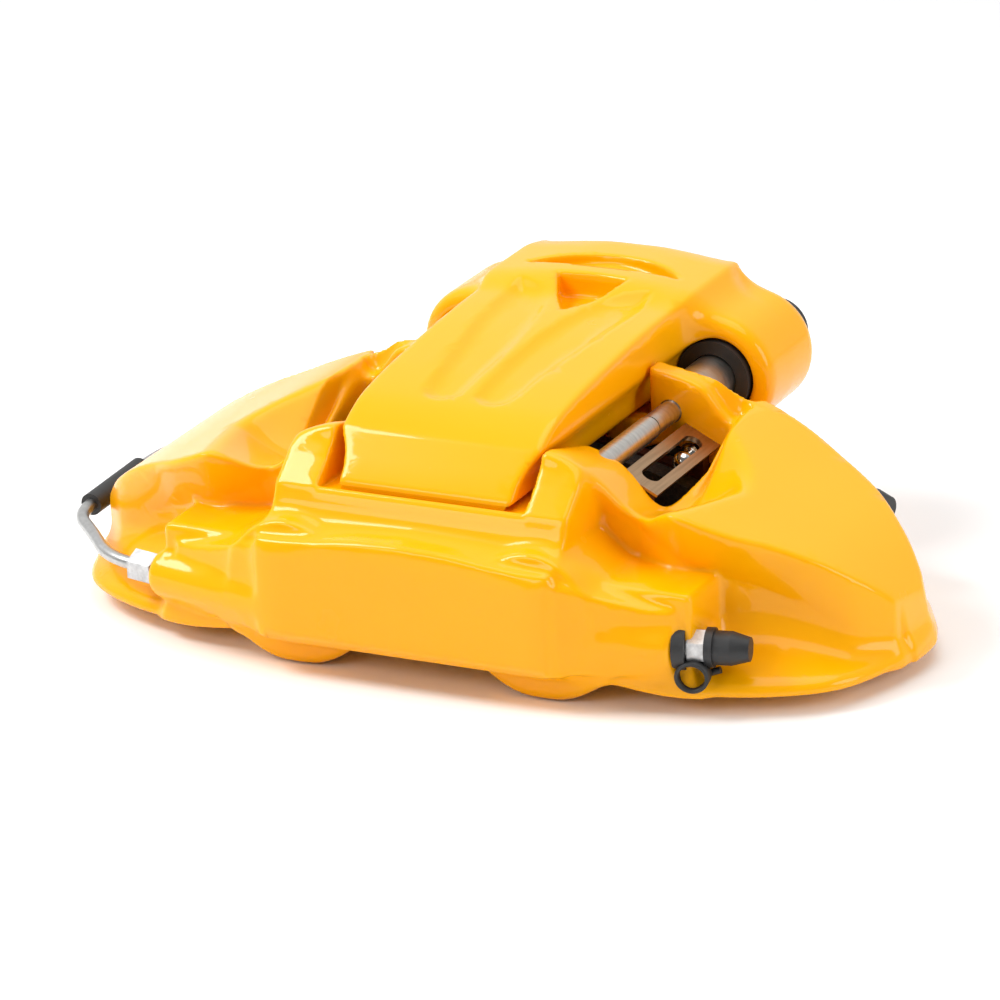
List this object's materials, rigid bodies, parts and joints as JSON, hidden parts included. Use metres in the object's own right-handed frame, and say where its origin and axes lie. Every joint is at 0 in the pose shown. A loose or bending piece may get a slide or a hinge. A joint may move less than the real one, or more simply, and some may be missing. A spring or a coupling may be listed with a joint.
{
  "type": "brake caliper",
  "caption": "Rear brake caliper: fixed body with opposed pistons, floating parking-brake fist on guide pins, pads, springs, bleeders and crossover pipe.",
  "frame": {"origin": "midway between the two knuckle bolts, on the face that sits on the knuckle", "axes": "+X along the caliper to the bleed-screw end, +Y inboard to the vehicle, +Z away from the hub"},
  "size_m": [0.3297, 0.2145, 0.098],
  "materials": {
    "yellow_paint": "glossy yellow-orange powder coat over cast aluminium, thick and slightly wavy",
    "satin_steel": "ground steel, satin, faint turning marks",
    "bright_steel": "polished steel",
    "zinc_steel": "zinc-plated steel, slightly mottled",
    "piston_metal": "machined and hard-anodised",
    "plated_pipe": "coated steel brake pipe, satin",
    "bronzed_spring_steel": "heat-tinted spring steel, brushed along its length, bronze brown",
    "black_rubber": "moulded black rubber, matte",
    "pad_backing": "dark red-brown painted steel backing plate",
    "friction_lining": "grey-black friction compound with brass and mineral specks"
  },
  "bodies": {
    "caliper": {"caliper_body": "yellow_paint", "piston_seal_outboard_left": "black_rubber", "piston_seal_outboard_right": "black_rubber", "piston_seal_inboard_left": "black_rubber", "piston_seal_inboard_right": "black_rubber", "dust_boot_outboard_left": "black_rubber", "dust_boot_outboard_right": "black_rubber", "dust_boot_inboard_left": "black_rubber", "dust_boot_inboard_right": "black_rubber", "spring_plate_left": "bronzed_spring_steel", "spring_plate_right": "bronzed_spring_steel", "guide_pin_left": "satin_steel", "guide_pin_right": "satin_steel", "guide_sleeve_left": "satin_steel", "guide_sleeve_right": "satin_steel", "bleed_tether_outboard": "black_rubber", "bleed_tether_inboard": "black_rubber", "tube_nut_outboard": "zinc_steel", "tube_nut_inboard": "zinc_steel", "crossover_pipe": "plated_pipe", "pipe_sleeve": "black_rubber"},
    "fist": {"fist_housing": "yellow_paint", "guide_bush_left": "satin_steel", "guide_bush_right": "satin_steel", "guide_boot_left": "black_rubber", "guide_boot_right": "black_rubber", "guide_cap_left": "black_rubber", "guide_cap_right": "black_rubber", "parking_piston_seal": "black_rubber", "parking_boot": "black_rubber", "thrust_bearing": "bright_steel", "spindle_seal": "black_rubber"},
    "spindle": {"spindle": "bright_steel", "spindle_circlip": "bright_steel"},
    "parking_piston": {"parking_piston": "piston_metal", "spindle_nut": "bright_steel"},
    "outboard_pad": {"pad_plate_outboard": "pad_backing", "pad_lining_outboard": "friction_lining"},
    "inboard_pad": {"pad_plate_inboard": "pad_backing", "pad_lining_inboard": "friction_lining", "pad_damper_left": "bright_steel", "pad_damper_right": "bright_steel"},
    "piston_outboard_left": {"piston_outboard_left": "piston_metal"},
    "piston_outboard_right": {"piston_outboard_right": "piston_metal"},
    "bleed_screw_outboard": {"bleed_screw_outboard": "zinc_steel"},
    "bleed_cap_outboard": {"bleed_cap_outboard": "black_rubber"},
    "piston_inboard_left": {"piston_inboard_left": "piston_metal"},
    "piston_inboard_right": {"piston_inboard_right": "piston_metal"},
    "bleed_screw_inboard": {"bleed_screw_inboard": "zinc_steel"},
    "bleed_cap_inboard": {"bleed_cap_inboard": "black_rubber"}
  },
  "joints": [
    {"name": "fist_slide", "type": "slide", "parent": "caliper", "child": "fist", "axis": [0, 1, 0], "range_m": [0, 0.007]},
    {"name": "spindle_turn", "type": "hinge", "parent": "fist", "child": "spindle", "pos_m": [0, 0.062, 0.034], "axis": [0, 1, 0], "range_deg": [0, 1440]},
    {"name": "parking_piston_slide", "type": "slide", "parent": "fist", "child": "parking_piston", "axis": [0, -1, 0], "range_m": [0, 0.014]},
    {"name": "outboard_pad_slide", "type": "slide", "parent": "caliper", "child": "outboard_pad", "axis": [0, 1, 0], "range_m": [0, 0.007]},
    {"name": "inboard_pad_slide", "type": "slide", "parent": "caliper", "child": "inboard_pad", "axis": [0, -1, 0], "range_m": [0, 0.007]},
    {"name": "piston_outboard_left_slide", "type": "slide", "parent": "caliper", "child": "piston_outboard_left", "axis": [0, 1, 0], "range_m": [0, 0.007]},
    {"name": "piston_outboard_right_slide", "type": "slide", "parent": "caliper", "child": "piston_outboard_right", "axis": [0, 1, 0], "range_m": [0, 0.007]},
    {"name": "piston_inboard_left_slide", "type": "slide", "parent": "caliper", "child": "piston_inboard_left", "axis": [0, -1, 0], "range_m": [0, 0.007]},
    {"name": "piston_inboard_right_slide", "type": "slide", "parent": "caliper", "child": "piston_inboard_right", "axis": [0, -1, 0], "range_m": [0, 0.007]},
    {"name": "bleed_screw_outboard_turn", "type": "hinge", "parent": "caliper", "child": "bleed_screw_outboard", "pos_m": [0.096, -0.118, 0.024], "axis": [0.9781, 0.2079, 0], "range_deg": [0, 360]},
    {"name": "bleed_cap_outboard_pull", "type": "slide", "parent": "caliper", "child": "bleed_cap_outboard", "axis": [0.9781, 0.2079, 0], "range_m": [0, 0.012]},
    {"name": "bleed_screw_inboard_turn", "type": "hinge", "parent": "caliper", "child": "bleed_screw_inboard", "pos_m": [0.096, 0.014, 0.0315], "axis": [0.9781, -0.2079, 0], "range_deg": [0, 360]},
    {"name": "bleed_cap_inboard_pull", "type": "slide", "parent": "caliper", "child": "bleed_cap_inboard", "axis": [0.9781, -0.2079, 0], "range_m": [0, 0.012]}
  ],
  "couplings": [
    {"joint": "spindle_turn", "follows": "fist_slide", "rad_per_m": 3590.4},
    {"joint": "parking_piston_slide", "follows": "fist_slide", "ratio": 2},
    {"joint": "outboard_pad_slide", "follows": "fist_slide", "ratio": 1},
    {"joint": "inboard_pad_slide", "follows": "fist_slide", "ratio": 1},
    {"joint": "piston_outboard_left_slide", "follows": "fist_slide", "ratio": 1},
    {"joint": "piston_outboard_right_slide", "follows": "fist_slide", "ratio": 1},
    {"joint": "piston_inboard_left_slide", "follows": "fist_slide", "ratio": 1},
    {"joint": "piston_inboard_right_slide", "follows": "fist_slide", "ratio": 1}
  ]
}
